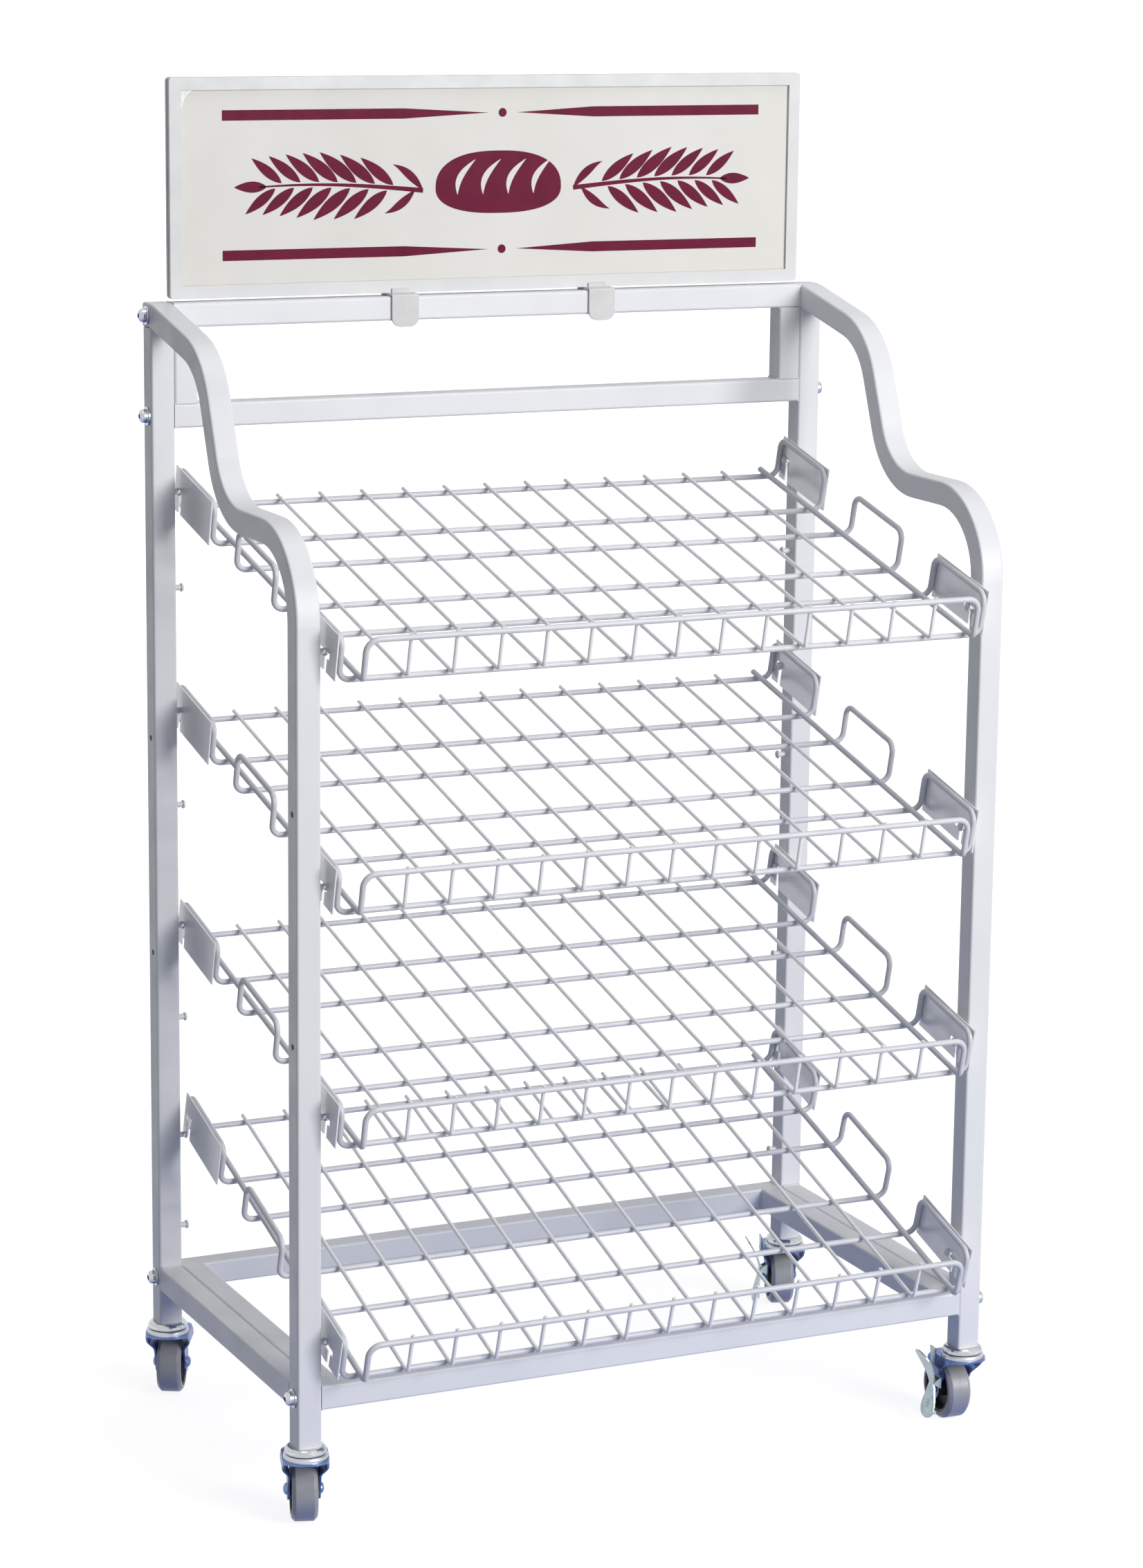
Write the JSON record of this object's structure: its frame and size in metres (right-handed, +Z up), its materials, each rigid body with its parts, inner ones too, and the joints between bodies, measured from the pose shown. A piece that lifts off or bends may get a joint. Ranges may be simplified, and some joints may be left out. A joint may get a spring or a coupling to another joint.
{
  "type": "bakery bread rack",
  "caption": "Rolling display rack for bread: square-tube side frames that sweep up to a sign at the back, tilted wire shelves hooked on pegs, and swivel casters.",
  "frame": {"origin": "on the floor, under the middle of the frame: halfway between the side frames and halfway between the front and rear posts", "axes": "+X to the right as a shopper faces the rack, -Y towards the shopper, +Z up"},
  "size_m": [0.8025, 0.534, 1.4007],
  "materials": {
    "frame_paint": "satin white powder coat on steel tube",
    "wire_paint": "satin white powder coat on welded steel wire",
    "zinc_plate": "bright zinc plate",
    "chrome_hardware": "bright plated hardware",
    "tread_rubber": "grey non-marking tread",
    "hub_plastic": "dark moulded hub",
    "sign_plastic": "off-white moulded frame",
    "sign_card": "printed off-white card",
    "clear_cover": "clear glossy cover sheet"
  },
  "bodies": {
    "frame": {"upright_left": "frame_paint", "upright_right": "frame_paint", "rear_post_left": "frame_paint", "rear_post_right": "frame_paint", "side_rail_left": "frame_paint", "side_rail_right": "frame_paint", "base_front_rail": "frame_paint", "base_rear_rail": "frame_paint", "base_side_rails": "frame_paint", "header_top_rail": "frame_paint", "header_bottom_rail": "frame_paint", "header_stiles": "frame_paint", "front_shelf_pegs": "frame_paint", "rear_shelf_pegs": "frame_paint", "frame_bolts": "chrome_hardware", "flat_washers": "chrome_hardware", "split_washers": "chrome_hardware", "threaded_inserts": "zinc_plate", "caster_sockets": "zinc_plate", "caster_stems": "zinc_plate", "caster_raceway_cups": "chrome_hardware", "caster_bearing_balls": "zinc_plate"},
    "fork_front_left": {"caster_fork_front_left": "zinc_plate", "caster_axle_front_left": "zinc_plate"},
    "wheel_front_left": {"caster_hub_front_left": "hub_plastic", "caster_tyre_front_left": "tread_rubber"},
    "fork_front_right": {"caster_fork_front_right": "zinc_plate", "caster_axle_front_right": "zinc_plate", "brake_bracket_front_right": "zinc_plate"},
    "wheel_front_right": {"caster_hub_front_right": "hub_plastic", "caster_tyre_front_right": "tread_rubber"},
    "lever_front_right": {"brake_lever_front_right": "zinc_plate"},
    "fork_rear_left": {"caster_fork_rear_left": "zinc_plate", "caster_axle_rear_left": "zinc_plate"},
    "wheel_rear_left": {"caster_hub_rear_left": "hub_plastic", "caster_tyre_rear_left": "tread_rubber"},
    "fork_rear_right": {"caster_fork_rear_right": "zinc_plate", "caster_axle_rear_right": "zinc_plate", "brake_bracket_rear_right": "zinc_plate"},
    "wheel_rear_right": {"caster_hub_rear_right": "hub_plastic", "caster_tyre_rear_right": "tread_rubber"},
    "lever_rear_right": {"brake_lever_rear_right": "zinc_plate"},
    "shelf_1": {"shelf_1_carrier_wires": "wire_paint", "shelf_1_cross_wires": "wire_paint", "shelf_1_hook_plates": "wire_paint"},
    "shelf_2": {"shelf_2_carrier_wires": "wire_paint", "shelf_2_cross_wires": "wire_paint", "shelf_2_hook_plates": "wire_paint"},
    "shelf_3": {"shelf_3_carrier_wires": "wire_paint", "shelf_3_cross_wires": "wire_paint", "shelf_3_hook_plates": "wire_paint"},
    "shelf_4": {"shelf_4_carrier_wires": "wire_paint", "shelf_4_cross_wires": "wire_paint", "shelf_4_hook_plates": "wire_paint"},
    "sign": {"sign_back": "sign_plastic", "sign_bezel": "sign_plastic", "sign_card": "sign_card", "sign_cover": "clear_cover", "sign_clips": "sign_plastic"}
  },
  "joints": [
    {"name": "swivel_front_left", "type": "hinge", "parent": "frame", "child": "fork_front_left", "pos_m": [-0.3725, -0.2015, 0.083], "axis": [0, 0, 1], "continuous": true},
    {"name": "roll_front_left", "type": "hinge", "parent": "fork_front_left", "child": "wheel_front_left", "pos_m": [-0.36313, -0.17195, 0.0325], "axis": [0.9532, -0.3024, 0], "continuous": true},
    {"name": "swivel_front_right", "type": "hinge", "parent": "frame", "child": "fork_front_right", "pos_m": [0.3725, -0.2015, 0.083], "axis": [0, 0, 1], "continuous": true},
    {"name": "roll_front_right", "type": "hinge", "parent": "fork_front_right", "child": "wheel_front_right", "pos_m": [0.37358, -0.17052, 0.0325], "axis": [0.9994, -0.0349, 0], "continuous": true},
    {"name": "brake_front_right", "type": "hinge", "parent": "fork_front_right", "child": "lever_front_right", "pos_m": [0.35121, -0.18074, 0.044], "axis": [0.0349, 0.9994, 0], "range_deg": [0, 10]},
    {"name": "swivel_rear_left", "type": "hinge", "parent": "frame", "child": "fork_rear_left", "pos_m": [-0.3725, 0.2015, 0.083], "axis": [0, 0, 1], "continuous": true},
    {"name": "roll_rear_left", "type": "hinge", "parent": "fork_rear_left", "child": "wheel_rear_left", "pos_m": [-0.35823, 0.22902, 0.0325], "axis": [0.8878, -0.4602, 0], "continuous": true},
    {"name": "swivel_rear_right", "type": "hinge", "parent": "frame", "child": "fork_rear_right", "pos_m": [0.3725, 0.2015, 0.083], "axis": [0, 0, 1], "continuous": true},
    {"name": "roll_rear_right", "type": "hinge", "parent": "fork_rear_right", "child": "wheel_rear_right", "pos_m": [0.38208, 0.23098, 0.0325], "axis": [0.9511, -0.309, 0], "continuous": true},
    {"name": "brake_rear_right", "type": "hinge", "parent": "fork_rear_right", "child": "lever_rear_right", "pos_m": [0.35776, 0.22732, 0.044], "axis": [0.309, 0.9511, 0], "range_deg": [0, 10]},
    {"name": "shelf_1_slide", "type": "slide", "parent": "frame", "child": "shelf_1", "axis": [0, -0.9733, -0.2296], "range_m": [-0.007, 0]},
    {"name": "shelf_2_slide", "type": "slide", "parent": "frame", "child": "shelf_2", "axis": [0, -0.9733, -0.2296], "range_m": [0, 0.007]},
    {"name": "shelf_3_slide", "type": "slide", "parent": "frame", "child": "shelf_3", "axis": [0, -0.9733, -0.2296], "range_m": [-0.007, 0]},
    {"name": "shelf_4_slide", "type": "slide", "parent": "frame", "child": "shelf_4", "axis": [0, -0.9575, -0.2885], "range_m": [-0.012, 0]},
    {"name": "sign_lift", "type": "slide", "parent": "frame", "child": "sign", "axis": [0, 0, 1], "range_m": [0, 0.06]}
  ]
}
